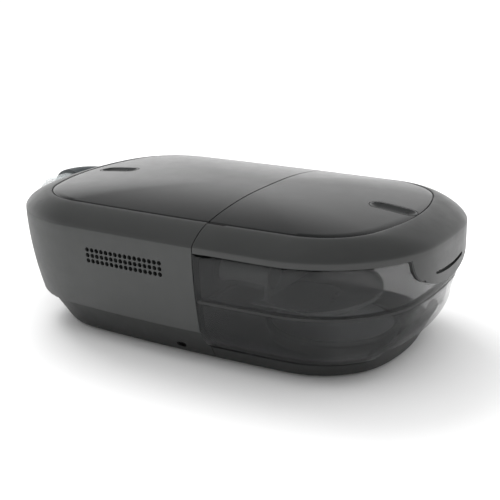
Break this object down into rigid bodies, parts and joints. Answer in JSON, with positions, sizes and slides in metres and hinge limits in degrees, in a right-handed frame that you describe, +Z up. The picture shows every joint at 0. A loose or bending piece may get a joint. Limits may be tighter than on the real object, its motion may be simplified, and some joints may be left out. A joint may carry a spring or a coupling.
{
  "type": "bedside ventilator with humidifier",
  "caption": "Low bedside pressure ventilator with rounded grey housing, crowned top panels, hinged lid over a smoked clear water tank, side grille and swivelling air outlet.",
  "frame": {"origin": "on the table, under the middle foot, which lies at the middle of the body's length and width", "axes": "+X along the body's length, from the blower end to the water tank; +Z up; -Y is the near long side with the intake grille"},
  "size_m": [0.2924, 0.1785, 0.0876],
  "materials": {
    "side_shell": "fine matte texture, dark grey",
    "skirt_shell": "fine matte texture, darker grey",
    "rim_shell": "satin dark grey",
    "top_panel": "satin dark grey, slightly glossy",
    "button_shell": "satin dark grey",
    "smoked_clear": "smoked clear plastic, glossy",
    "clear_insert": "frosted clear plastic",
    "inner_plastic": "moulded, light texture",
    "natural_plastic": "off-white moulding",
    "clear_cuff": "translucent pale grey",
    "grey_elbow": "fine matte texture",
    "black_rubber": "matte",
    "grey_silicone": "soft, satin",
    "foam": "open-cell foam",
    "filter_fleece": "white fleece",
    "steel": "brushed",
    "plated_steel": "polished",
    "heater_metal": "satin anodised",
    "copper_winding": "enamelled winding",
    "board_green": "solder-masked board",
    "chip_black": "moulded package",
    "screen_glass": "dark glossy lens",
    "socket_metal": "stamped shell"
  },
  "bodies": {
    "body": {"base_pan": "skirt_shell", "rubber_feet": "black_rubber", "base_screws": "plated_steel", "blower_housing": "side_shell", "air_filter": "filter_fleece", "grille_foam": "foam", "blower_rim": "rim_shell", "blower_panel": "top_panel", "start_button_spring": "steel", "start_switch": "chip_black", "hinge_pin": "steel", "tank_tub": "smoked_clear", "tank_base_plate": "steel", "tank_gasket": "grey_silicone", "tank_hood": "smoked_clear", "tank_air_guide": "clear_insert", "tank_port_seals": "grey_silicone", "heater_springs": "steel", "heater_insulator": "natural_plastic", "chassis_plate": "inner_plastic", "main_board": "board_green", "board_parts": "chip_black", "service_port": "socket_metal", "motor_mounts": "black_rubber", "motor_cup": "steel", "motor_bearings": "plated_steel", "motor_stator": "copper_winding", "bearing_bridge": "inner_plastic", "volute_lower": "inner_plastic", "volute_upper": "inner_plastic", "muffler_foam": "foam", "supply_duct": "inner_plastic", "return_duct": "inner_plastic", "flow_sensor": "chip_black", "outlet_port": "skirt_shell", "display_bezel": "rim_shell", "display_lens": "screen_glass", "display_module": "chip_black", "knob_encoder": "socket_metal", "card_socket": "socket_metal", "power_inlet": "inner_plastic"},
    "lid": {"lid_rim": "rim_shell", "lid_panel": "top_panel", "lid_liner": "inner_plastic", "lid_seal": "grey_silicone", "release_button_spring": "steel"},
    "release_push": {"release_button": "button_shell"},
    "start_push": {"start_button": "button_shell"},
    "outlet_elbow": {"swivel_elbow": "grey_elbow", "elbow_o_ring": "black_rubber", "hose_cuff": "clear_cuff"},
    "blower_rotor": {"motor_shaft": "plated_steel", "motor_rotor": "steel", "impeller": "natural_plastic"},
    "knob": {"control_knob": "grey_elbow"},
    "card": {"memory_card": "chip_black"},
    "intake_cover": {"filter_cover": "side_shell"},
    "heater": {"heater_plate": "heater_metal", "heater_element": "heater_metal"}
  },
  "joints": [
    {"name": "lid_hinge", "type": "hinge", "parent": "body", "child": "lid", "pos_m": [0.0279, 0, 0.0813], "axis": [0, -1, 0], "range_deg": [0, 92]},
    {"name": "release_press", "type": "slide", "parent": "lid", "child": "release_push", "axis": [0, 0, -1], "range_m": [0, 0.0012], "stiffness_N_per_m": 300, "springref_m": -0.001, "deforming": ["release_button_spring"]},
    {"name": "start_press", "type": "slide", "parent": "body", "child": "start_push", "axis": [0, 0, -1], "range_m": [0, 0.0012], "stiffness_N_per_m": 300, "springref_m": -0.001, "deforming": ["start_button_spring"]},
    {"name": "elbow_swivel", "type": "hinge", "parent": "body", "child": "outlet_elbow", "pos_m": [-0.1302, 0.033, 0.061], "axis": [-1, 0, 0], "continuous": true},
    {"name": "rotor_spin", "type": "hinge", "parent": "body", "child": "blower_rotor", "pos_m": [-0.066, -0.034, 0.04], "axis": [0, 0, 1], "continuous": true},
    {"name": "knob_turn", "type": "hinge", "parent": "body", "child": "knob", "pos_m": [0.004, 0.085, 0.046], "axis": [0, 1, 0], "continuous": true},
    {"name": "card_slide", "type": "slide", "parent": "body", "child": "card", "axis": [0, 1, 0], "range_m": [0, 0.024]},
    {"name": "intake_cover_slide", "type": "slide", "parent": "body", "child": "intake_cover", "axis": [-1, 0, 0], "range_m": [0, 0.03]},
    {"name": "heater_press", "type": "slide", "parent": "body", "child": "heater", "axis": [0, 0, -1], "range_m": [0, 0.0015], "stiffness_N_per_m": 2500, "springref_m": -0.001, "deforming": ["heater_springs"]}
  ]
}
